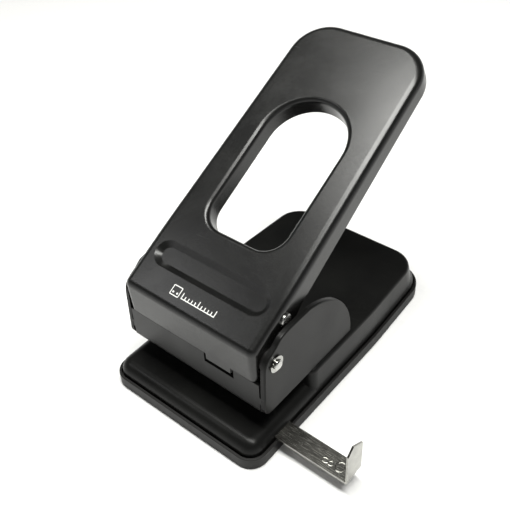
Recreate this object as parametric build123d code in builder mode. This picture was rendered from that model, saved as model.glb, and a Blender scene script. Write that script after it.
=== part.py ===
from build123d import *
from math import cos, radians, sin
import os

# Heavy-duty two-hole office punch, as an assembly of separate pieces.
#
# Frame: millimetres, +Z up, origin at the middle of the chip tray's underside. Paper goes in from -Y, the
# handle's free end points to +Y, and the paper guide slides out to +X.

os.makedirs("parts", exist_ok=True)

# ---------------------------------------------------------------- driving dimensions
hole_pitch = 80.0           # standard spacing of the two holes
hole_diameter = 6.0
hole_to_edge = 12.0         # hole centre to the paper's edge
running_gap = 0.05          # radial clearance of a shaft that turns or slides

tray_width = 117.5
tray_length = 197.0
tray_height = 8.9
tray_rear_width = 111.0     # the sides close in towards the rear
tray_taper_start = 27.5
taper_radius = 260.0
front_corner = 11.5
rear_corner = 21.0
tray_wall = 1.5
tray_floor = 2.0
ledge_height = 5.0          # the base plate stands on this ledge in the tray
ledge_width = 4.0

base_inset = 2.5            # gap and rim between the tray's outline and the base plate's
base_sheet = 1.6
table_height = 17.3         # paper rests here
plateau_height = 30.7       # raised rear part that carries the brackets
throat_back = -38.8         # the step that the paper's edge stops against

punch_y = throat_back - hole_to_edge

bracket_outer = 54.0        # half-width over the brackets
bracket_wall = 3.1
bracket_inner = bracket_outer - bracket_wall
bracket_front = -80.3
bracket_rear = 4.0
bracket_top = 83.2

pivot_y = -69.6
pivot_z = 67.2
hinge_diameter = 6.0

handle_x = -0.8             # the lever's middle; it sits closer to the left bracket
handle_half = 49.3
handle_tip_half = 45.2
handle_length = 203.3       # crease to tip
handle_taper_start = 40.0
handle_angle = 28.5         # top panel above level, at rest
handle_sheet = 2.0
tip_skirt = 12.0            # depth of the turned-down sides at the tip
root_skirt = 15.8           # and where they widen into the hinge ears
skirt_root = 45.0
crease_y = -81.6
crease_z = 79.3
skirt_foot_y = -80.2        # lower edge of the handle's front face
skirt_foot_z = 56.0
tip_corner = 24.0
fold_radius = 4.6

bar_y = -54.0
bar_z = 84.1
bar_diameter = 8.4

guide_y = -69.1             # middle of the paper guide's strip
guide_width = 13.9
guide_z = 9.6
guide_sheet = 1.2
guide_outer = 106.4         # outer face of the guide's stop
guide_inner_end = -20.0

front_plate_y = -79.9
front_plate_sheet = 1.8
front_plate_top = 55.3

channel_bottom = 27.7
channel_top = 48.7
channel_sheet = 3.0
channel_front = -60.3
channel_rear = -41.3

clip_thick = 0.8            # all E-clips are cut from the same sheet

slope = radians(handle_angle)
handle_plane = Plane(
    origin=(handle_x, crease_y, crease_z), x_dir=(1, 0, 0), z_dir=(0, -sin(slope), cos(slope)),
)
ear_right = handle_x + handle_half
ear_left = handle_x - handle_half


def side_plane(x):
    """A plane facing +X at x, whose sketch axes are Y and Z."""
    return Plane(origin=(x, 0, 0), x_dir=(0, 1, 0), z_dir=(1, 0, 0))


def finish(piece, name):
    """Label a piece and write it as its own STEP file."""
    piece.label = name
    export_step(piece, f"parts/{name}.step")


def plan_outline(inset, rear_inset=0.0):
    """Fill the tray's plan outline, moved inwards by inset, in the sketch that is open."""
    half = tray_width / 2 - inset
    rear_half = tray_rear_width / 2 - inset
    front = tray_length / 2 - inset
    end = front - rear_inset
    corners = [
        (-half, -front), (half, -front), (half, tray_taper_start),
        (rear_half, end), (-rear_half, end), (-half, tray_taper_start),
    ]
    front_radius = front_corner - inset
    rear_radius = rear_corner - inset
    radii = [front_radius, front_radius, taper_radius, rear_radius, rear_radius, taper_radius]
    with BuildLine() as outline:
        FilletPolyline(corners, radius=radii, close=True)
    make_face(outline.edges())


def clip_face(centre_y, centre_z, bore, outer, opening):
    """An E-clip's flat shape: an open ring with three lugs that reach the groove."""
    with BuildSketch() as ring:
        with Locations((centre_y, centre_z)):
            Circle(outer)
            Circle(bore + 0.35 * (outer - bore), mode=Mode.SUBTRACT)
            with PolarLocations((bore + outer) / 2 - 0.3, 3, start_angle=opening + 90, angular_range=180):
                Rectangle(outer - bore, 0.8 * bore)
            Circle(bore, mode=Mode.SUBTRACT)
            with PolarLocations(outer, 1, start_angle=opening):
                Rectangle(2 * outer, 1.7 * bore, mode=Mode.SUBTRACT)
    return ring.sketch


# ---------------------------------------------------------------- chip tray and feet
foot_places = [(x, y) for x in (-44.0, 44.0) for y in (-84.0, 80.0)]
foot_radius = 6.0
foot_depth = 1.0
clip_places = [(-20.0, -1), (20.0, -1), (-25.0, 1), (25.0, 1)]
clip_length = 14.0
clip_wall = 1.6
clip_gap = 0.35

with BuildPart() as chip_tray:
    with BuildSketch(Plane.XY):
        plan_outline(0)
    extrude(amount=tray_height)
    chamfer(chip_tray.faces().sort_by(Axis.Z)[0].edges(), 0.8)
    fillet(chip_tray.faces().sort_by(Axis.Z)[-1].edges(), 0.5)
    with BuildSketch(Plane.XY.offset(ledge_height)):
        plan_outline(tray_wall)
    extrude(amount=tray_height, mode=Mode.SUBTRACT)
    with BuildSketch(Plane.XY.offset(tray_floor)):
        plan_outline(tray_wall + ledge_width)
    extrude(amount=tray_height, mode=Mode.SUBTRACT)
    # upright tabs that grip the inside of the base plate's front and rear walls
    for tab_x, end in clip_places:
        tab_y = end * (tray_length / 2 - base_inset - base_sheet - clip_gap - clip_wall / 2)
        with BuildSketch(Plane.XY.offset(tray_floor)):
            with Locations((tab_x, tab_y)):
                Rectangle(clip_length, clip_wall)
        extrude(amount=tray_height)
    with BuildSketch(Plane.XY):
        with Locations(foot_places):
            Circle(foot_radius)
    extrude(amount=foot_depth, mode=Mode.SUBTRACT)
finish(chip_tray.part, "chip_tray")

with BuildPart() as anti_slip_feet:
    with BuildSketch(Plane.XY):
        with Locations(foot_places):
            Circle(foot_radius - running_gap)
    extrude(amount=foot_depth)
finish(anti_slip_feet.part, "anti_slip_feet")

# ---------------------------------------------------------------- base plate
table_round = 7.4           # the table's outer edges roll down to the tray
plateau_round = 2.6
plateau_rear_inset = 8.0    # the plateau's rear wall leans in towards its top
step_corner = 6.0
bush_hole = 6.0
screw_x = 44.6
screw_ys = (-28.0, -8.0)
screw_hole = 2.2
die_screw_x = 20.0
slot_clearance = 0.3


def base_form(shrink):
    """The base plate's outside, or with shrink its inside: low table in front, plateau behind."""
    inset = base_inset + shrink
    with BuildPart() as table:
        with BuildSketch(Plane.XY.offset(ledge_height)):
            plan_outline(inset)
        extrude(amount=table_height - shrink - ledge_height)
        fillet(table.faces().sort_by(Axis.Z)[-1].edges(), table_round - shrink)
    with BuildPart() as plateau:
        with BuildSketch(Plane.XY.offset(ledge_height)):
            plan_outline(inset)
        with BuildSketch(Plane.XY.offset(plateau_height - shrink)):
            plan_outline(inset + 0.6, plateau_rear_inset)
        loft()
        with BuildSketch(Plane.XY):
            with Locations((0, throat_back + shrink)):
                Rectangle(2 * tray_width, tray_length, align=(Align.CENTER, Align.MIN))
        extrude(amount=plateau_height, mode=Mode.INTERSECT)
        step = plateau.faces().sort_by(Axis.Y)[0]
        fillet(step.edges().filter_by(lambda edge: abs(edge.tangent_at(0.5).X) < 0.5), step_corner - shrink)
        fillet(plateau.faces().sort_by(Axis.Z)[-1].edges(), plateau_round - shrink)
    return table.part + plateau.part


outside = base_form(0)
inside = base_form(base_sheet)

with BuildPart() as base_plate:
    add(outside)
    add(inside, mode=Mode.SUBTRACT)
    with BuildSketch(Plane.XY.offset(table_height)):
        with Locations((-hole_pitch / 2, punch_y), (hole_pitch / 2, punch_y)):
            Circle(bush_hole)
        with Locations((-die_screw_x, punch_y), (die_screw_x, punch_y)):
            Circle(3.2)
    extrude(amount=-2 * base_sheet, mode=Mode.SUBTRACT)
    with BuildSketch(Plane.XY.offset(plateau_height)):
        with Locations([(side * screw_x, y) for side in (-1, 1) for y in screw_ys]):
            Circle(screw_hole)
    extrude(amount=-2 * base_sheet, mode=Mode.SUBTRACT)
    # slot in the right wall for the paper guide
    with BuildSketch(side_plane(bracket_outer - 8)):
        with Locations((guide_y, guide_z + guide_sheet / 2)):
            Rectangle(guide_width + 2 * slot_clearance, guide_sheet + 2 * slot_clearance)
    extrude(amount=16, mode=Mode.SUBTRACT)
finish(base_plate.part, "base_plate")

# ---------------------------------------------------------------- side brackets
foot_flange = 12.0
foot_thick = 3.0
foot_front = throat_back + 4
foot_rear = 0.0
tab_depth = 2.0             # how far channel and front plate tabs reach into the brackets
tab_fit = 0.05
tab_end = bracket_inner + tab_depth - 0.1
channel_half = bracket_inner - 0.1
channel_tab = (34.0, 41.0)
front_tab = (39.5, 45.0)


def side_bracket(side):
    """One side plate with a foot flange; side is 1 on the right and -1 on the left."""
    with BuildPart() as bracket:
        with BuildSketch(side_plane(bracket_inner)):
            with BuildLine() as outline:
                Line((bracket_rear, plateau_height), (bracket_front + 6.3, plateau_height))
                RadiusArc((bracket_front + 6.3, plateau_height), (bracket_front, plateau_height + 6.3), 6.3)
                Line((bracket_front, plateau_height + 6.3), (bracket_front + 1.3, 64.5))
                Spline(
                    (bracket_front + 1.3, 64.5), (-76.2, 73.4), (-68.5, 78.6), (-52.0, bracket_top),
                    tangents=[(0.04, 1), (1, 0)],
                )
                Line((-52.0, bracket_top), (-39.0, bracket_top))
                ThreePointArc((-39.0, bracket_top), (-10.6, 68.3), (bracket_rear, 37.0))
                Line((bracket_rear, 37.0), (bracket_rear, plateau_height))
            make_face()
        extrude(amount=bracket_wall)
        fillet(bracket.faces().sort_by(Axis.X)[-1].edges(), 1.0)
        with BuildSketch(Plane.XY.offset(plateau_height)):
            with Locations((bracket_inner - foot_flange / 2 + 0.5, (foot_front + foot_rear) / 2)):
                Rectangle(foot_flange + 1, foot_rear - foot_front)
        extrude(amount=foot_thick)
        with BuildSketch(Plane.XY.offset(plateau_height)):
            with Locations([(screw_x, y) for y in screw_ys]):
                Circle(screw_hole)
        extrude(amount=foot_thick, mode=Mode.SUBTRACT)
        with BuildSketch(side_plane(bracket_inner)):
            with Locations((pivot_y, pivot_z)):
                Circle(hinge_diameter / 2 + running_gap)
        extrude(amount=bracket_wall, mode=Mode.SUBTRACT)
        # blind pockets for the tabs of the punch guide and the front plate
        with BuildSketch(side_plane(bracket_inner)):
            with Locations((channel_front + channel_sheet / 2, sum(channel_tab) / 2)):
                Rectangle(channel_sheet + 2 * tab_fit, channel_tab[1] - channel_tab[0] + 2 * tab_fit)
            with Locations((front_plate_y + front_plate_sheet / 2, sum(front_tab) / 2)):
                Rectangle(front_plate_sheet + 2 * tab_fit, front_tab[1] - front_tab[0] + 2 * tab_fit)
        extrude(amount=tab_depth + tab_fit, mode=Mode.SUBTRACT)
        if side < 0:
            mirror(about=Plane.YZ, mode=Mode.REPLACE)
    return bracket.part


finish(side_bracket(1), "side_bracket_right")
finish(side_bracket(-1), "side_bracket_left")

screw_places = [(side * screw_x, y) for side in (-1, 1) for y in screw_ys]
screw_head_z = plateau_height + foot_thick
nut_z = plateau_height - base_sheet

with BuildPart() as bracket_screws:
    with BuildSketch(Plane.XY.offset(screw_head_z)):
        with Locations(screw_places):
            Circle(3.7)
    extrude(amount=2.4)
    fillet(bracket_screws.faces().group_by(Axis.Z)[-1].edges(), 1.4)
    with BuildSketch(Plane.XY.offset(screw_head_z + 2.4)):
        with Locations(screw_places):
            Rectangle(4.2, 0.9)
            Rectangle(0.9, 4.2)
    extrude(amount=-1.4, mode=Mode.SUBTRACT)
    with BuildSketch(Plane.XY.offset(screw_head_z)):
        with Locations(screw_places):
            Circle(2.0)
    extrude(amount=-(foot_thick + base_sheet + 4.2))
finish(bracket_screws.part, "bracket_screws")

with BuildPart() as bracket_nuts:
    with BuildSketch(Plane.XY.offset(nut_z)):
        with Locations(screw_places):
            RegularPolygon(radius=4.0, side_count=6)
        with Locations(screw_places):
            Circle(2.05, mode=Mode.SUBTRACT)
    extrude(amount=-3.2)
finish(bracket_nuts.part, "bracket_nuts")

# ---------------------------------------------------------------- front plate
lip_radius = 4.0
lip_reach = 9.0
notch_left = 9.6
notch_right = 31.6
notch_depth = 7.0
plate_half = 50.0

with BuildPart() as front_plate:
    with BuildSketch(side_plane(-plate_half)):
        with BuildLine() as bend:
            Line((front_plate_y, front_plate_top), (front_plate_y, plateau_height + lip_radius))
            RadiusArc(
                (front_plate_y, plateau_height + lip_radius),
                (front_plate_y + lip_radius, plateau_height), -lip_radius,
            )
            Line((front_plate_y + lip_radius, plateau_height), (front_plate_y + lip_reach, plateau_height))
            offset(amount=front_plate_sheet, side=Side.LEFT)
        make_face()
    extrude(amount=2 * plate_half)
    with BuildSketch(Plane.XZ.offset(-front_plate_y)):
        with Locations(((notch_left + notch_right) / 2, front_plate_top)):
            Rectangle(notch_right - notch_left, 2 * notch_depth)
    extrude(amount=-front_plate_sheet, mode=Mode.SUBTRACT)
    for side in (-1, 1):
        with BuildSketch(side_plane(side * plate_half)):
            with Locations((front_plate_y + front_plate_sheet / 2, sum(front_tab) / 2)):
                Rectangle(front_plate_sheet, front_tab[1] - front_tab[0])
        extrude(amount=side * (tab_end - plate_half))
finish(front_plate.part, "front_plate")

# ---------------------------------------------------------------- punch guide channel
with BuildPart() as punch_guide:
    with BuildSketch(side_plane(-channel_half)):
        with BuildLine():
            Polyline(
                (channel_rear, channel_bottom), (channel_front, channel_bottom),
                (channel_front, channel_top), (channel_rear, channel_top),
                (channel_rear, channel_top - channel_sheet),
                (channel_front + channel_sheet, channel_top - channel_sheet),
                (channel_front + channel_sheet, channel_bottom + channel_sheet),
                (channel_rear, channel_bottom + channel_sheet),
                close=True,
            )
        make_face()
    extrude(amount=2 * channel_half)
    folds = punch_guide.edges().filter_by(Axis.X)
    fillet(folds.filter_by(lambda edge: edge.center().Y < channel_front + 0.1), 2.5)
    with BuildSketch(Plane.XY.offset(channel_bottom)):
        with Locations((-hole_pitch / 2, punch_y), (hole_pitch / 2, punch_y)):
            Circle(hole_diameter / 2 + running_gap)
    extrude(amount=channel_top - channel_bottom, mode=Mode.SUBTRACT)
    for side in (-1, 1):
        with BuildSketch(side_plane(side * channel_half)):
            with Locations((channel_front + channel_sheet / 2, sum(channel_tab) / 2)):
                Rectangle(channel_sheet, channel_tab[1] - channel_tab[0])
        extrude(amount=side * (tab_end - channel_half))
finish(punch_guide.part, "punch_guide")

# ---------------------------------------------------------------- die plate, bushes and screws
die_thick = 3.0
die_top = table_height - base_sheet
die_half = 48.0
die_front = -57.6
die_rear = -43.6
bush_body = 4.8
bush_fit = 0.02

with BuildPart() as die_plate:
    with BuildSketch(Plane.XY.offset(die_top - die_thick)):
        with Locations((0, (die_front + die_rear) / 2)):
            Rectangle(2 * die_half, die_rear - die_front)
        with Locations((-hole_pitch / 2, punch_y), (hole_pitch / 2, punch_y)):
            Circle(bush_body + bush_fit, mode=Mode.SUBTRACT)
        with Locations((-die_screw_x, punch_y), (die_screw_x, punch_y)):
            Circle(1.6, mode=Mode.SUBTRACT)
    extrude(amount=die_thick)
    chamfer(die_plate.edges().filter_by(Axis.Z).group_by(SortBy.LENGTH)[-1].sort_by(Axis.X)[:2], 1.0)
finish(die_plate.part, "die_plate")


def die_bush(side):
    """Hardened ring that the punch pin shears against, flush with the paper table."""
    with BuildPart() as bush:
        with Locations((side * hole_pitch / 2, punch_y, die_top - die_thick)):
            Cylinder(bush_body, die_thick, align=(Align.CENTER, Align.CENTER, Align.MIN))
        with Locations((side * hole_pitch / 2, punch_y, die_top)):
            Cylinder(bush_hole - bush_fit, base_sheet, align=(Align.CENTER, Align.CENTER, Align.MIN))
        with Locations((side * hole_pitch / 2, punch_y, die_top - die_thick)):
            Cylinder(
                hole_diameter / 2 + running_gap, die_thick + base_sheet,
                align=(Align.CENTER, Align.CENTER, Align.MIN), mode=Mode.SUBTRACT,
            )
            Cylinder(
                hole_diameter / 2 + 0.5, die_thick / 2,
                align=(Align.CENTER, Align.CENTER, Align.MIN), mode=Mode.SUBTRACT,
            )
    return bush.part


finish(die_bush(1), "die_bush_right")
finish(die_bush(-1), "die_bush_left")

with BuildPart() as die_screws:
    for side in (-1, 1):
        with BuildSketch(Plane.XY.offset(table_height)):
            with Locations((side * die_screw_x, punch_y)):
                Circle(3.1)
        with BuildSketch(Plane.XY.offset(die_top)):
            with Locations((side * die_screw_x, punch_y)):
                Circle(1.55)
        loft()
    with BuildSketch(Plane.XY.offset(die_top)):
        with Locations((-die_screw_x, punch_y), (die_screw_x, punch_y)):
            Circle(1.55)
    extrude(amount=-5.0)
    with BuildSketch(Plane.XY.offset(table_height)):
        with Locations((-die_screw_x, punch_y), (die_screw_x, punch_y)):
            Rectangle(3.4, 0.8)
            Rectangle(0.8, 3.4)
    extrude(amount=-0.9, mode=Mode.SUBTRACT)
finish(die_screws.part, "die_screws")

# ---------------------------------------------------------------- paper guide and its channel
stop_front = guide_y - guide_width / 2
stop_rear = guide_y + guide_width / 2
channel_start = 14.0
channel_length = 34.0

with BuildPart() as paper_guide:
    with BuildSketch(Plane.XY.offset(guide_z)):
        with Locations(((guide_outer + guide_inner_end) / 2, guide_y)):
            Rectangle(guide_outer - guide_inner_end, guide_width)
    extrude(amount=guide_sheet)
    with BuildSketch(side_plane(guide_outer)):
        with BuildLine():
            Polyline(
                (stop_front, guide_z), (stop_front, 34.3), (stop_front + 4.8, 39.2),
                (stop_rear, 33.6), (stop_rear, guide_z), close=True,
            )
        make_face()
    extrude(amount=-guide_sheet)
    across = paper_guide.edges().filter_by(Axis.Y)
    fillet(across.sort_by_distance((guide_outer, guide_y, guide_z))[0], 2.0)
    fillet(
        paper_guide.edges().filter_by(Axis.Y).sort_by_distance(
            (guide_outer - guide_sheet, guide_y, guide_z + guide_sheet))[0],
        0.8,
    )
    # index notches that the leaf spring drops into
    for step in range(6):
        with BuildSketch(Plane.XY.offset(guide_z + guide_sheet)):
            with Locations((guide_inner_end + 12.0 + 6.0 * step, guide_y)):
                Rectangle(1.2, 5.0)
        extrude(amount=-0.35, mode=Mode.SUBTRACT)
finish(paper_guide.part, "paper_guide")

with BuildPart() as guide_channel:
    with BuildSketch(side_plane(channel_start)):
        with BuildLine():
            Polyline(
                (stop_front - 8.0, die_top), (stop_front - 8.0, die_top - 1.2), (stop_front - 1.4, die_top - 1.2),
                (stop_front - 1.4, guide_z - 1.4), (stop_rear + 1.4, guide_z - 1.4),
                (stop_rear + 1.4, die_top - 1.2), (stop_rear + 3.6, die_top - 1.2), (stop_rear + 3.6, die_top),
                (stop_rear + 0.2, die_top), (stop_rear + 0.2, guide_z - 0.2), (stop_front - 0.2, guide_z - 0.2),
                (stop_front - 0.2, die_top), close=True,
            )
        make_face()
    extrude(amount=channel_length)
finish(guide_channel.part, "guide_channel")

with BuildPart() as guide_spring:
    with BuildSketch(Plane.XZ.offset(-guide_y - 3.0)):
        with BuildLine():
            Polyline(
                (18.0, die_top), (26.0, die_top), (32.0, guide_z + guide_sheet + 0.5),
                (34.0, guide_z + guide_sheet + 0.5), (42.0, die_top - 1.5),
            )
            offset(amount=0.4, side=Side.RIGHT)
        make_face()
    extrude(amount=6.0)
finish(guide_spring.part, "guide_spring")

# ---------------------------------------------------------------- punch pins, caps and springs
pin_tip = 28.2
pin_top = 79.7
head_radius = 4.4
head_thick = 2.6
cap_radius = 5.3
cap_thick = 1.0
spring_wire = 1.1
spring_radius = 4.1
spring_turns = 8
pin_groove = 2.3
pin_clip_z = channel_top - channel_sheet - clip_thick - 0.05
spring_low = channel_top
spring_high = pin_top - head_thick - cap_thick


def punch_pin(side):
    """Hardened pin with a flat head and a notched cutting end."""
    with BuildPart() as pin:
        with Locations((side * hole_pitch / 2, punch_y, pin_tip)):
            Cylinder(
                hole_diameter / 2, pin_top - pin_tip - head_thick / 2,
                align=(Align.CENTER, Align.CENTER, Align.MIN),
            )
        with Locations((side * hole_pitch / 2, punch_y, pin_top - head_thick)):
            Cylinder(head_radius, head_thick, align=(Align.CENTER, Align.CENTER, Align.MIN))
        fillet(pin.edges().group_by(Axis.Z)[-1], 0.8)
        with BuildSketch(Plane.XY.offset(pin_clip_z - 0.05)):
            with Locations((side * hole_pitch / 2, punch_y)):
                Circle(hole_diameter)
                Circle(pin_groove, mode=Mode.SUBTRACT)
        extrude(amount=clip_thick + 0.1, mode=Mode.SUBTRACT)
        with BuildSketch(Plane.XZ.offset(-punch_y)):
            with Locations((side * hole_pitch / 2, pin_tip)):
                with BuildLine():
                    Polyline((-2.6, 0), (2.6, 0), (0, 1.3), close=True)
                make_face()
        extrude(amount=hole_diameter, both=True, mode=Mode.SUBTRACT)
    return pin.part


def pin_clip(side):
    """E-clip under the punch guide's upper flange, which stops the pin's rise."""
    with BuildPart() as clip:
        with BuildSketch(Plane.XY.offset(pin_clip_z)):
            add(clip_face(side * hole_pitch / 2, punch_y, pin_groove + 0.02, 4.9, 90))
        extrude(amount=clip_thick)
    return clip.part


def spring_cap(side):
    """Washer under the pin's head that the spring pushes on."""
    with BuildPart() as cap:
        with BuildSketch(Plane.XY.offset(spring_high)):
            with Locations((side * hole_pitch / 2, punch_y)):
                Circle(cap_radius)
                Circle(hole_diameter / 2 + running_gap, mode=Mode.SUBTRACT)
        extrude(amount=cap_thick)
    return cap.part


def punch_spring(side):
    """Compression spring between the punch guide and the cap."""
    wire = spring_wire / 2
    height = spring_high - spring_low - spring_wire
    with BuildPart() as spring:
        with BuildLine() as coil:
            Helix(
                pitch=height / spring_turns, height=height, radius=spring_radius,
                center=(side * hole_pitch / 2, punch_y, spring_low + wire),
            )
        with BuildSketch(Plane(origin=coil.line @ 0, z_dir=coil.line % 0)):
            Circle(wire)
        sweep()
    return spring.part


for side, word in ((1, "right"), (-1, "left")):
    finish(punch_pin(side), f"punch_pin_{word}")
    finish(pin_clip(side), f"pin_clip_{word}")
    finish(spring_cap(side), f"spring_cap_{word}")
    finish(punch_spring(side), f"punch_spring_{word}")

# ---------------------------------------------------------------- hinge pin, clips, washers and sleeve
pin_end = bracket_outer + 2.6
groove_start = bracket_outer + 0.15
groove_radius = 2.3
washer_radius = 7.2
washer_gap = 0.1


with BuildPart() as hinge_pin:
    with BuildSketch(side_plane(-pin_end)):
        with Locations((pivot_y, pivot_z)):
            Circle(hinge_diameter / 2)
    extrude(amount=2 * pin_end)
    chamfer(hinge_pin.edges().filter_by(GeomType.CIRCLE), 0.5)
    for start in (groove_start, -groove_start - clip_thick - 0.1):
        with BuildSketch(side_plane(start)):
            with Locations((pivot_y, pivot_z)):
                Circle(hinge_diameter)
                Circle(groove_radius, mode=Mode.SUBTRACT)
        extrude(amount=clip_thick + 0.1, mode=Mode.SUBTRACT)
finish(hinge_pin.part, "hinge_pin")

with BuildPart() as hinge_clips:
    for start in (groove_start + 0.05, -groove_start - clip_thick - 0.05):
        with BuildSketch(side_plane(start)):
            add(clip_face(pivot_y, pivot_z, groove_radius + 0.02, 5.2, 140))
        extrude(amount=clip_thick)
finish(hinge_clips.part, "hinge_clips")

with BuildPart() as hinge_washers:
    for ear, wall in ((ear_right, bracket_inner), (ear_left, -bracket_inner)):
        thick = abs(wall - ear) - 2 * washer_gap
        with BuildSketch(side_plane(min(ear, wall) + washer_gap)):
            with Locations((pivot_y, pivot_z)):
                Circle(washer_radius)
                Circle(hinge_diameter / 2 + running_gap, mode=Mode.SUBTRACT)
        extrude(amount=thick)
finish(hinge_washers.part, "hinge_washers")

with BuildPart() as hinge_sleeve:
    with BuildSketch(side_plane(ear_left + handle_sheet)):
        with Locations((pivot_y, pivot_z)):
            Circle(4.6)
            Circle(hinge_diameter / 2 + running_gap, mode=Mode.SUBTRACT)
    extrude(amount=2 * (handle_half - handle_sheet))
finish(hinge_sleeve.part, "hinge_sleeve")

# ---------------------------------------------------------------- handle
cutout_half = 27.7
cutout_near = 52.5
cutout_far = 150.2
cutout_corner = 15.0
flange_depth = 12.4
flange_sheet = 2.2
lip_round = 3.0
recess_s = 26.6
recess_length = 84.0
recess_width = 17.2
recess_slope = 3.6
recess_depth = 2.7
tab_left = 10.4
tab_right = 28.8
tab_drop = 5.9
tab_setback = 0.9


def handle_side():
    """Close the lever's side profile in the sketch that is open."""
    along = (cos(slope), sin(slope))
    below = (sin(slope), -cos(slope))

    def at(s, depth):
        return (
            crease_y + along[0] * s + below[0] * depth,
            crease_z + along[1] * s + below[1] * depth,
        )

    with BuildLine() as profile:
        Polyline(at(0, 0), at(handle_length, 0), at(handle_length, tip_skirt), at(skirt_root, root_skirt))
        Spline(
            at(skirt_root, root_skirt), (-46.5, 76.0), (-57.5, 61.0), (-68.0, 55.9),
            tangents=[(-along[0], -along[1]), (-1, 0)],
        )
        Polyline((-68.0, 55.9), (skirt_foot_y, skirt_foot_z), at(0, 0))
    make_face(profile.edges())


def handle_plan(inset):
    """Close the lever's plan, seen square to its top panel, in the sketch that is open."""
    half = handle_half - inset
    tip_half = handle_tip_half - inset
    end = handle_length - inset
    with BuildLine() as plan:
        FilletPolyline(
            (half, -60), (half, handle_taper_start), (tip_half, end),
            (-tip_half, end), (-half, handle_taper_start), (-half, -60),
            radius=[0, 500, tip_corner - inset, tip_corner - inset, 500, 0], close=True,
        )
    make_face(plan.edges())


def handle_form():
    """The lever's solid outside, with its folds rounded."""
    with BuildPart() as form:
        with BuildSketch(side_plane(ear_left)):
            handle_side()
        extrude(amount=2 * handle_half)
        with BuildSketch(handle_plane.offset(-80)):
            handle_plan(0)
        extrude(amount=160, mode=Mode.INTERSECT)
        panel = form.faces().sort_by(Axis(handle_plane.origin, handle_plane.z_dir))[-1]
        front = form.faces().sort_by(Axis.Y)[0]
        corners = front.edges().filter_by(lambda edge: abs(edge.tangent_at(0.5).X) < 0.5)
        fillet(panel.edges() + corners, fold_radius)
    return form.part


def handle_hollow():
    """The space under the lever's sheet, open below."""
    lean = (crease_y - skirt_foot_y) / (crease_z - skirt_foot_z)
    low = (crease_y - lean * 60, crease_z - 60)
    high = (crease_y + cos(slope) * 230, crease_z + sin(slope) * 230)
    with BuildLine() as skin:
        Polyline(low, (crease_y, crease_z), high)
    lining = offset(skin.line, amount=handle_sheet, side=Side.RIGHT, closed=False, mode=Mode.PRIVATE)
    corners = [Vector(vertex) for vertex in lining.vertices().sort_by(Axis.Y)]
    bottom_rear = (corners[-1].X + sin(slope) * 150, corners[-1].Y - cos(slope) * 150)
    with BuildPart() as hollow:
        with BuildSketch(side_plane(-60)):
            with BuildLine():
                Polyline(*lining.vertices(), bottom_rear, close=True)
            make_face()
        extrude(amount=120)
        with BuildSketch(handle_plane.offset(-120)):
            handle_plan(handle_sheet)
        extrude(amount=240, mode=Mode.INTERSECT)
    return hollow.part


def cutout_face(grow):
    """Fill the arched cut-out, grown outwards, in the sketch that is open."""
    half = cutout_half + grow
    near = cutout_near - grow
    middle = cutout_far + grow - half
    corner = cutout_corner + grow
    with BuildLine() as arch:
        FilletPolyline(
            (-half, middle), (-half, near), (half, near), (half, middle), radius=[corner, corner],
        )
        ThreePointArc((half, middle), (0, middle + half), (-half, middle))
    make_face(arch.edges())


def recess_plane(height):
    """The recess's sketch plane, at a height over the top panel."""
    return Plane(
        origin=handle_plane.origin + handle_plane.y_dir * recess_s + handle_plane.z_dir * height,
        x_dir=handle_plane.x_dir, z_dir=handle_plane.z_dir,
    )


def is_cutout_rim(edge):
    """True for an edge of the cut-out that lies in the top panel's outer face."""
    place = handle_plane.to_local_coords(edge.center())
    reach = abs(place.X) < cutout_half + 1 and cutout_near - 1 < place.Y < cutout_far + 1
    return reach and abs(place.Z) < 0.01


with BuildPart() as handle:
    add(handle_form())
    add(handle_hollow(), mode=Mode.SUBTRACT)
    # cut-out with its turned-down flange
    with BuildSketch(handle_plane.offset(-flange_depth)):
        cutout_face(flange_sheet)
    extrude(amount=flange_depth - handle_sheet / 2)
    with BuildSketch(handle_plane.offset(-3 * flange_depth)):
        cutout_face(0)
    extrude(amount=4 * flange_depth, mode=Mode.SUBTRACT)
    rim = handle.edges().filter_by(lambda edge: is_cutout_rim(edge))
    fillet(rim, lip_round)
    # stadium recess that bears on the press bar
    with BuildSketch(recess_plane(-handle_sheet / 2)):
        SlotOverall(recess_length + 3.0, recess_width + 3.0)
    with BuildSketch(recess_plane(-handle_sheet - recess_depth)):
        SlotOverall(recess_length - 2 * recess_slope + 2.0, recess_width - 2 * recess_slope + 2.0)
    loft()
    with BuildSketch(recess_plane(0.01)):
        SlotOverall(recess_length, recess_width)
    with BuildSketch(recess_plane(-recess_depth)):
        SlotOverall(recess_length - 2 * recess_slope, recess_width - 2 * recess_slope)
    loft(mode=Mode.SUBTRACT)
    # stop tab that hangs in the front plate's notch
    tab_front = skirt_foot_y + tab_setback
    with BuildSketch(side_plane(tab_left)):
        with BuildLine():
            Polyline(
                (tab_front, skirt_foot_z + 2.0), (tab_front, skirt_foot_z - tab_drop),
                (tab_front + handle_sheet, skirt_foot_z - tab_drop),
                (tab_front + handle_sheet, skirt_foot_z + 2.0), close=True,
            )
        make_face()
    extrude(amount=tab_right - tab_left)
    # holes for the hinge pin and the press bar
    with BuildSketch(side_plane(ear_left)):
        with Locations((pivot_y, pivot_z)):
            Circle(hinge_diameter / 2 + running_gap)
        with Locations((bar_y, bar_z)):
            Circle(bar_diameter / 2 + running_gap)
    extrude(amount=2 * handle_half, mode=Mode.SUBTRACT)
finish(handle.part, "handle")

# ---------------------------------------------------------------- press bar and its clips
bar_right = ear_right + 1.7
bar_left = ear_left - 0.4
bar_groove = 3.4
bar_clip_radius = 5.4
bar_clip_starts = (ear_right - handle_sheet - clip_thick - 0.1, ear_left + handle_sheet + 0.1)

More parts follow.
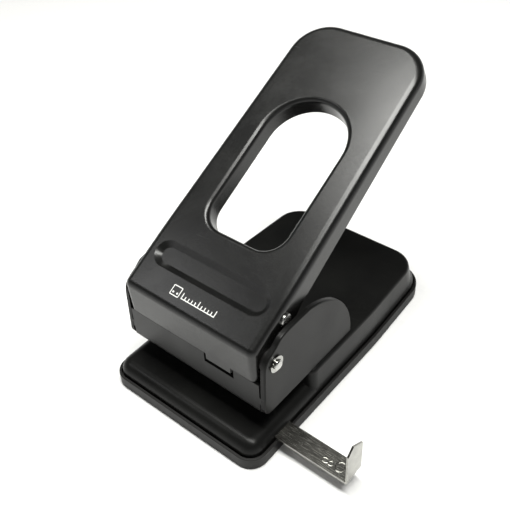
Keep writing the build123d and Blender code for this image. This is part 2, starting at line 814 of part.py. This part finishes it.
with BuildPart() as press_bar:
    with BuildSketch(side_plane(bar_left)):
        with Locations((bar_y, bar_z)):
            Circle(bar_diameter / 2)
    extrude(amount=bar_right - bar_left)
    chamfer(press_bar.edges().filter_by(GeomType.CIRCLE), 0.5)
    for start in bar_clip_starts:
        with BuildSketch(side_plane(start - 0.05)):
            with Locations((bar_y, bar_z)):
                Circle(bar_diameter)
                Circle(bar_groove, mode=Mode.SUBTRACT)
        extrude(amount=clip_thick + 0.1, mode=Mode.SUBTRACT)
finish(press_bar.part, "press_bar")

with BuildPart() as press_bar_clips:
    for start in bar_clip_starts:
        with BuildSketch(side_plane(start)):
            add(clip_face(bar_y, bar_z, bar_groove + 0.02, bar_clip_radius, -60))
        extrude(amount=clip_thick)
finish(press_bar_clips.part, "press_bar_clips")
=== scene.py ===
import math

import bmesh
import bpy
from mathutils import Matrix, Vector


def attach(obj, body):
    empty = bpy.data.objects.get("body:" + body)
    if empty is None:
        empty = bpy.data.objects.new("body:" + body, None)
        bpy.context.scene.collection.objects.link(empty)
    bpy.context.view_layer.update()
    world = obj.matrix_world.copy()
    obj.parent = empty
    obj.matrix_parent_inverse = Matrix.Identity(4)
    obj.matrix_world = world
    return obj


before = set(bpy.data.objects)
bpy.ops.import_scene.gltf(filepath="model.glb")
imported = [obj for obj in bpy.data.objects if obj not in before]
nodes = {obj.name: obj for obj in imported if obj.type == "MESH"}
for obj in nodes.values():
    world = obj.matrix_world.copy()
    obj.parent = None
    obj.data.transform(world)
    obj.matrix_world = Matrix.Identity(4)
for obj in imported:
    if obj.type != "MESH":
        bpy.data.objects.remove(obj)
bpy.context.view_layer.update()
scene = bpy.context.scene

MM = 0.001
HANDLE_SLOPE = math.radians(28.5)               # the top panel above level, at rest
HANDLE_CREASE = Vector((-0.8, -81.6, 79.3)) * MM  # middle of the fold between top panel and front face
GUIDE_TOP = Vector((0, -69.1, 10.8)) * MM       # middle line of the paper guide's upper face
MARK_LINE = 0.55                                # stroke width of the printed mark, mm
MARK_THICK = 0.02
EMBOSS_HEIGHT = 0.24                            # raised digits stay clear of the base plate's slot, mm
FLOOR_HALF = 0.9
CAMERA_PLACE = Vector((0.22558, -0.27303, 0.37224))


# ---------------------------------------------------------------- material helpers
class Look:
    """A node material under construction: a Principled shader and small helpers that add nodes to it."""

    def __init__(self, name, color, metallic=0.0, roughness=0.5):
        self.material = bpy.data.materials.new(name)
        self.material.use_nodes = True
        self.tree = self.material.node_tree
        self.shader = self.tree.nodes["Principled BSDF"]
        self.shader.inputs["Base Color"].default_value = (*color, 1)
        self.shader.inputs["Metallic"].default_value = metallic
        self.shader.inputs["Roughness"].default_value = roughness
        self.coords = self.tree.nodes.new("ShaderNodeTexCoord").outputs["Object"]
        self.height = None

    def link(self, source, target):
        self.tree.links.new(source, target)

    def stretched(self, scale, turn=(0, 0, 0)):
        """Object coordinates scaled by axis, for textures that run along one direction."""
        mapping = self.tree.nodes.new("ShaderNodeMapping")
        mapping.inputs["Scale"].default_value = scale
        mapping.inputs["Rotation"].default_value = turn
        self.link(self.coords, mapping.inputs["Vector"])
        return mapping.outputs["Vector"]

    def noise(self, scale, detail=2.0, roughness=0.5, vector=None, distortion=0.0):
        texture = self.tree.nodes.new("ShaderNodeTexNoise")
        texture.inputs["Scale"].default_value = scale
        texture.inputs["Detail"].default_value = detail
        texture.inputs["Roughness"].default_value = roughness
        texture.inputs["Distortion"].default_value = distortion
        self.link(vector or self.coords, texture.inputs["Vector"])
        return texture.outputs["Fac"]

    def cells(self, scale):
        """Distance to the middle of smooth Voronoi cells."""
        texture = self.tree.nodes.new("ShaderNodeTexVoronoi")
        texture.feature = "SMOOTH_F1"
        texture.inputs["Scale"].default_value = scale
        self.link(self.coords, texture.inputs["Vector"])
        return texture.outputs["Distance"]

    def remap(self, value, low, high, to_low, to_high):
        """Value's range low to high becomes to_low to to_high, clamped."""
        node = self.tree.nodes.new("ShaderNodeMapRange")
        for socket, number in zip(
            ("From Min", "From Max", "To Min", "To Max"), (low, high, to_low, to_high)
        ):
            node.inputs[socket].default_value = number
        self.link(value, node.inputs["Value"])
        return node.outputs["Result"]

    def math(self, operation, first, second):
        node = self.tree.nodes.new("ShaderNodeMath")
        node.operation = operation
        for socket, value in zip(node.inputs, (first, second)):
            if isinstance(value, (int, float)):
                socket.default_value = value
            else:
                self.link(value, socket)
        return node.outputs[0]

    def blend(self, factor, first, second):
        """Colour between first and second, by factor."""
        node = self.tree.nodes.new("ShaderNodeMix")
        node.data_type = "RGBA"
        self.link(factor, node.inputs[0])
        for socket, value in zip((node.inputs[6], node.inputs[7]), (first, second)):
            if isinstance(value, tuple):
                socket.default_value = (*value, 1)
            else:
                self.link(value, socket)
        return node.outputs[2]

    def color(self, value):
        self.link(value, self.shader.inputs["Base Color"])

    def roughness(self, value):
        self.link(value, self.shader.inputs["Roughness"])

    def bump(self, height, distance, strength=1.0):
        """Add one layer of relief; distance is its full height in metres."""
        node = self.tree.nodes.new("ShaderNodeBump")
        node.inputs["Strength"].default_value = strength
        node.inputs["Distance"].default_value = distance
        self.link(height, node.inputs["Height"])
        if self.height is not None:
            self.link(self.height, node.inputs["Normal"])
        self.height = node.outputs["Normal"]
        self.link(self.height, self.shader.inputs["Normal"])

    def edges(self, radius):
        """A mask that is 1 on sharp edges: how far a bevelled normal leans from the real one."""
        bevel = self.tree.nodes.new("ShaderNodeBevel")
        bevel.samples = 4
        bevel.inputs["Radius"].default_value = radius
        geometry = self.tree.nodes.new("ShaderNodeNewGeometry")
        dot = self.tree.nodes.new("ShaderNodeVectorMath")
        dot.operation = "DOT_PRODUCT"
        self.link(bevel.outputs["Normal"], dot.inputs[0])
        self.link(geometry.outputs["Normal"], dot.inputs[1])
        return self.remap(dot.outputs["Value"], 0.995, 0.82, 0.0, 1.0)


def black_paint(name, tone, gloss, sheen):
    """Satin stove enamel: fine orange peel, faint smudges, hairline scratches and a thin lighter line on
    edges, partly wear and partly a painted highlight.
    """
    look = Look(name, (tone, tone, tone), roughness=gloss)
    cloud = look.noise(38, 3, 0.55)
    speck = look.noise(5200, 2, 0.6)
    peel = look.noise(760, 2, 0.45)
    hair = look.noise(1, 3, 0.5, look.stretched((70, 1900, 1900), (0.0, 0.3, 0.35)))
    hair_mask = look.remap(hair, 0.70, 0.76, 0.0, 1.0)
    patchy = look.remap(look.noise(420, 3), 0.42, 0.62, 0.15, 1.0)
    # Lighter colour along every sharp edge, patchy but never absent: partly paint wear, partly a painted
    # edge highlight.
    edge_wear_and_highlight = look.math("MULTIPLY", look.edges(0.35 * MM), patchy)
    dark = (tone, tone * 1.02, tone)
    light = (tone * 1.55, tone * 1.57, tone * 1.46)
    paint = look.blend(look.remap(cloud, 0.3, 0.7, 0.0, 1.0), dark, light)
    paint = look.blend(look.math("MULTIPLY", hair_mask, 0.35), paint, (0.03, 0.03, 0.03))
    look.color(look.blend(look.math("MULTIPLY", edge_wear_and_highlight, 0.45), paint, (0.055, 0.054, 0.052)))
    smudge = look.remap(look.noise(16, 4, 0.62, distortion=0.6), 0.35, 0.68, gloss - 0.03, gloss + 0.06)
    grain = look.math("ADD", smudge, look.remap(speck, 0.35, 0.65, -0.025, 0.025))
    look.roughness(look.math("ADD", grain, look.math("MULTIPLY", hair_mask, 0.10)))
    look.shader.inputs["Specular IOR Level"].default_value = sheen
    look.bump(look.noise(95, 1, 0.4), 0.05 * MM, 0.25)
    look.bump(peel, 0.012 * MM, 0.55)
    look.bump(speck, 0.002 * MM, 0.5)
    look.bump(hair_mask, -0.003 * MM, 0.6)
    return look.material


def moulded_plastic(name):
    """Spark-textured injection moulding with slightly polished edges."""
    look = Look(name, (0.008, 0.0077, 0.0074), roughness=0.5)
    look.shader.inputs["Specular IOR Level"].default_value = 0.2
    grain = look.cells(1500)
    fine = look.noise(2600, 3, 0.6)
    worn = look.edges(0.4 * MM)
    cloud = look.noise(30, 3, 0.6)
    mottle = look.remap(cloud, 0.3, 0.7, 0.0, 1.0)
    base = look.blend(mottle, (0.005, 0.0048, 0.0046), (0.009, 0.0087, 0.0084))
    look.color(look.blend(look.math("MULTIPLY", worn, 0.35), base, (0.035, 0.034, 0.033)))
    rough = look.remap(fine, 0.3, 0.7, 0.42, 0.60)
    look.roughness(look.math("SUBTRACT", rough, look.math("MULTIPLY", worn, 0.12)))
    look.bump(grain, 0.03 * MM, 0.35)
    look.bump(fine, 0.012 * MM, 0.4)
    return look.material


def rubber(name):
    look = Look(name, (0.018, 0.018, 0.018), roughness=0.8)
    pores = look.noise(1400, 4, 0.65)
    look.color(look.blend(pores, (0.012, 0.012, 0.012), (0.03, 0.03, 0.029)))
    look.roughness(look.remap(pores, 0.3, 0.7, 0.68, 0.9))
    look.bump(pores, 0.03 * MM, 0.5)
    return look.material


def bright_steel(name, color, rough, grain_scale, stain=0.3, ripple=0.02):
    """Plated or ground steel: fine grain along one direction, faint stains and burnished edges."""
    look = Look(name, color, metallic=1.0, roughness=rough)
    grain = look.noise(1, 4, 0.65, look.stretched(grain_scale))
    cloud = look.noise(120, 4, 0.6, distortion=0.4)
    spots = look.remap(look.noise(900, 4, 0.7), 0.60, 0.72, 0.0, 1.0)
    worn = look.edges(0.2 * MM)
    dull = tuple(c * (1 - stain) for c in color)
    base = look.blend(look.remap(cloud, 0.3, 0.7, 0.0, 1.0), dull, color)
    base = look.blend(look.math("MULTIPLY", spots, 0.35), base, tuple(c * 0.55 for c in color))
    look.color(look.blend(look.math("MULTIPLY", worn, 0.5), base, (0.92, 0.91, 0.89)))
    brushed = look.remap(grain, 0.3, 0.7, rough - 0.07, rough + 0.10)
    look.roughness(look.math("ADD", brushed, look.math("MULTIPLY", spots, 0.12)))
    look.bump(grain, 0.3 * ripple * MM, 0.5)
    look.bump(cloud, ripple * MM, 0.2)
    return look.material


# Four copies of one black enamel whose tones are painted light and shade: the base is set lightest, the
# handle and front plate between, the brackets darkest, to match how brightly each part is lit.
paint_handle = black_paint("paint_handle", 0.0040, 0.25, 0.40)
paint_base = black_paint("paint_base", 0.0048, 0.30, 0.12)
paint_bracket = black_paint("paint_bracket", 0.0030, 0.36, 0.14)
paint_front = black_paint("paint_front", 0.0035, 0.33, 0.22)
tray_plastic = moulded_plastic("tray_plastic")
foot_rubber = rubber("foot_rubber")
zinc = bright_steel("zinc_steel", (0.60, 0.60, 0.59), 0.34, (300, 1600, 1600))
ground = bright_steel("ground_steel", (0.52, 0.52, 0.50), 0.22, (2200, 160, 2200))
sheet_steel = bright_steel("guide_sheet", (0.37, 0.365, 0.335), 0.22, (140, 2400, 2400), 0.35, 0.003)
spring_steel = bright_steel("spring_steel", (0.55, 0.55, 0.54), 0.26, (900, 900, 900))
clip_steel = bright_steel("clip_steel", (0.40, 0.40, 0.38), 0.20, (1200, 1200, 1200), 0.15, 0.01)

LOOKS = {
    "chip_tray": tray_plastic, "anti_slip_feet": foot_rubber, "base_plate": paint_base,
    "side_bracket_right": paint_bracket, "side_bracket_left": paint_bracket,
    "bracket_screws": zinc, "bracket_nuts": zinc, "front_plate": paint_front,
    "punch_guide": zinc, "die_plate": zinc, "die_bush_right": ground, "die_bush_left": ground,
    "die_screws": zinc, "paper_guide": sheet_steel, "guide_channel": zinc, "guide_spring": spring_steel,
    "punch_pin_right": ground, "punch_pin_left": ground, "pin_clip_right": spring_steel,
    "pin_clip_left": spring_steel, "spring_cap_right": zinc, "spring_cap_left": zinc,
    "punch_spring_right": spring_steel, "punch_spring_left": spring_steel, "hinge_pin": ground,
    "hinge_clips": clip_steel, "hinge_washers": tray_plastic, "hinge_sleeve": zinc, "handle": paint_handle,
    "press_bar": ground, "press_bar_clips": clip_steel,
}
for name, material in LOOKS.items():
    piece = nodes[name]
    for slot in piece.material_slots:
        slot.material = material


# ---------------------------------------------------------------- printed mark and embossed marks
def solid_from(faces, thickness, place):
    """A thin mesh from flat loops given in mm, raised by thickness and set down by the place matrix."""
    mesh = bmesh.new()
    for loop in faces:
        low = [mesh.verts.new((x * MM, y * MM, 0)) for x, y in loop]
        high = [mesh.verts.new((x * MM, y * MM, thickness * MM)) for x, y in loop]
        mesh.faces.new(high)
        mesh.faces.new(list(reversed(low)))
        for i in range(len(loop)):
            j = (i + 1) % len(loop)
            mesh.faces.new((low[i], low[j], high[j], high[i]))
    mesh.transform(place)
    return mesh


def add_piece(name, mesh, material, body, smooth=False):
    """Put a finished mesh into the scene as a piece that rides on a body."""
    data = bpy.data.meshes.new(name)
    mesh.to_mesh(data)
    mesh.free()
    data.materials.append(material)
    for polygon in data.polygons:
        polygon.use_smooth = smooth
    piece = bpy.data.objects.new(name, data)
    scene.collection.objects.link(piece)
    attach(piece, body)


def bar(x, y, width, height):
    """A rectangle's corners, centred on x and y."""
    return [
        (x - width / 2, y - height / 2), (x + width / 2, y - height / 2),
        (x + width / 2, y + height / 2), (x - width / 2, y + height / 2),
    ]


def disc(x, y, radius):
    """A circle's corners."""
    turns = [2 * math.pi * i / 20 for i in range(20)]
    return [(x + radius * math.cos(a), y + radius * math.sin(a)) for a in turns]


def ribbon(points, width):
    """Quads of the given width along a polyline, for closed or open strokes."""
    quads = []
    for (x0, y0), (x1, y1) in zip(points, points[1:]):
        length = math.hypot(x1 - x0, y1 - y0)
        nx, ny = -(y1 - y0) / length * width / 2, (x1 - x0) / length * width / 2
        quads.append([(x0 - nx, y0 - ny), (x1 - nx, y1 - ny), (x1 + nx, y1 + ny), (x0 + nx, y0 + ny)])
    return quads


def printed_mark():
    """White pad print on the handle: a sheet with two holes, beside a short scale."""
    across = Vector((1, 0, 0))
    along = Vector((0, math.cos(HANDLE_SLOPE), math.sin(HANDLE_SLOPE)))
    out = across.cross(along)
    turn = Matrix((across, along, out)).transposed().to_4x4()
    place = Matrix.Translation(HANDLE_CREASE + along * 10.2 * MM + out * 0.012 * MM) @ turn
    sheet = ribbon([(-16.6, -2.9), (-10.4, -2.9), (-10.4, 2.9), (-16.6, 2.9), (-16.6, -2.9)], MARK_LINE)
    faces = sheet + [disc(-15.0, -1.1, 0.62), disc(-12.0, -1.1, 0.62)]
    faces.append(bar(4.2, -2.4, 25.0, MARK_LINE))
    for step in range(11):
        tall = 3.4 if step % 5 == 0 else 1.9
        faces.append(bar(-8.0 + 2.44 * step, -2.1 + tall / 2, 0.6, tall))
    look = Look("pad_print", (0.72, 0.72, 0.70), roughness=0.45)
    worn = look.remap(look.noise(1900, 4, 0.6), 0.34, 0.46, 0.0, 1.0)
    look.color(look.blend(worn, (0.42, 0.42, 0.41), (0.74, 0.74, 0.72)))
    look.roughness(look.remap(look.noise(700, 3), 0.3, 0.7, 0.38, 0.55))
    look.bump(look.noise(2600, 2), 0.004 * MM, 0.5)
    add_piece("printed_mark", solid_from(faces, MARK_THICK, place), look.material, "lever")


def embossed(name, rings, width):
    """Raised round-backed strokes, pressed up from the guide's sheet."""
    mesh = bmesh.new()
    profile = [(math.cos(a), math.sin(a)) for a in (math.pi * i / 6 for i in range(7))]
    for center_x, center_y, radius_x, radius_y in rings:
        count = 36
        loops = []
        for i in range(count):
            angle = 2 * math.pi * i / count
            loop = []
            for px, pz in profile:
                x = center_x + (radius_x + px * width / 2) * math.cos(angle)
                y = center_y + (radius_y + px * width / 2) * math.sin(angle)
                loop.append(mesh.verts.new([c * MM for c in (x, y, pz * EMBOSS_HEIGHT)]))
            loops.append(loop)
        for i in range(count):
            here, after = loops[i], loops[(i + 1) % count]
            for j in range(len(profile) - 1):
                mesh.faces.new((here[j], after[j], after[j + 1], here[j + 1]))
            mesh.faces.new((here[0], here[-1], after[-1], after[0]))
    mesh.transform(Matrix.Translation(GUIDE_TOP))
    add_piece(name, mesh, sheet_steel, "guide", smooth=True)


def guide_marks():
    """Raised 8 and 0 near the guide's outer end, from rings given by middle and radii in mm."""
    embossed("guide_digit_8", [(88.4, -1.75, 1.9, 1.5), (91.9, -1.75, 1.5, 1.5)], 1.0)
    embossed("guide_digit_0", [(97.6, -0.4, 2.6, 3.3)], 1.1)


printed_mark()
guide_marks()


# ---------------------------------------------------------------- floor, lights and camera
def make_floor():
    """A sheet of pale paper under the object."""
    mesh = bpy.data.meshes.new("studio_floor")
    corners = [(x * FLOOR_HALF, y * FLOOR_HALF, 0) for x, y in ((-1, -1), (1, -1), (1, 1), (-1, 1))]
    mesh.from_pydata(corners, [], [(0, 1, 2, 3)])
    floor = bpy.data.objects.new("studio_floor", mesh)
    scene.collection.objects.link(floor)
    look = Look("studio_paper", (0.85, 0.85, 0.85), roughness=0.75)
    fibre = look.noise(260, 4, 0.6)
    look.color(look.blend(look.remap(fibre, 0.3, 0.7, 0.0, 1.0), (0.83, 0.83, 0.83), (0.86, 0.86, 0.86)))
    look.bump(fibre, 0.05 * MM, 0.1)
    mesh.materials.append(look.material)


def softbox(name, place, target, size, power, tint=(1, 1, 1)):
    """A rectangular area light at place, facing target."""
    data = bpy.data.lights.new(name, "AREA")
    data.shape = "RECTANGLE"
    data.size, data.size_y = size
    data.energy = power
    data.color = tint
    lamp = bpy.data.objects.new(name, data)
    scene.collection.objects.link(lamp)
    lamp.location = place
    lamp.rotation_euler = (Vector(target) - Vector(place)).to_track_quat("-Z", "Y").to_euler()


def make_world():
    """Pale surround at the horizon that darkens upwards, so that black paint keeps its depth."""
    world = bpy.data.worlds.new("studio")
    world.use_nodes = True
    tree = world.node_tree
    direction = tree.nodes.new("ShaderNodeTexCoord").outputs["Generated"]
    split = tree.nodes.new("ShaderNodeSeparateXYZ")
    tree.links.new(direction, split.inputs["Vector"])
    fade = tree.nodes.new("ShaderNodeMapRange")
    fade.interpolation_type = "SMOOTHSTEP"
    for socket, number in (("From Min", 0.02), ("From Max", 0.40), ("To Min", 0.90), ("To Max", 0.08)):
        fade.inputs[socket].default_value = number
    tree.links.new(split.outputs["Z"], fade.inputs["Value"])
    tree.links.new(fade.outputs["Result"], tree.nodes["Background"].inputs["Strength"])
    tree.nodes["Background"].inputs["Color"].default_value = (1, 1, 1, 1)
    scene.world = world


def make_camera():
    """A camera in front of the punch, to its right and above it."""
    yaw, pitch, roll = math.radians(41.76), math.radians(-40.60), math.radians(-3.50)
    forward = Vector((-math.sin(yaw) * math.cos(pitch), math.cos(yaw) * math.cos(pitch), math.sin(pitch)))
    level = Vector((math.cos(yaw), math.sin(yaw), 0))
    upright = level.cross(forward)
    right = math.cos(roll) * level + math.sin(roll) * upright
    up = -math.sin(roll) * level + math.cos(roll) * upright
    data = bpy.data.cameras.new("camera")
    data.sensor_width = 36
    data.lens = 52.92
    data.clip_start, data.clip_end = 0.01, 30
    camera = bpy.data.objects.new("camera", data)
    scene.collection.objects.link(camera)
    turn = Matrix((right, up, -forward)).transposed()
    camera.matrix_world = Matrix.Translation(CAMERA_PLACE) @ turn.to_4x4()
    scene.camera = camera


make_floor()
softbox("overhead", (0.11, -0.02, 1.25), (0.11, -0.02, 0.0), (1.20, 0.36), 30, (1.0, 1.0, 0.965))
softbox("left_front", (-0.84, -0.66, 1.20), (0, -0.05, 0.08), (0.46, 0.24), 1.7)
make_world()
scene.view_settings.view_transform = "Standard"
make_camera()
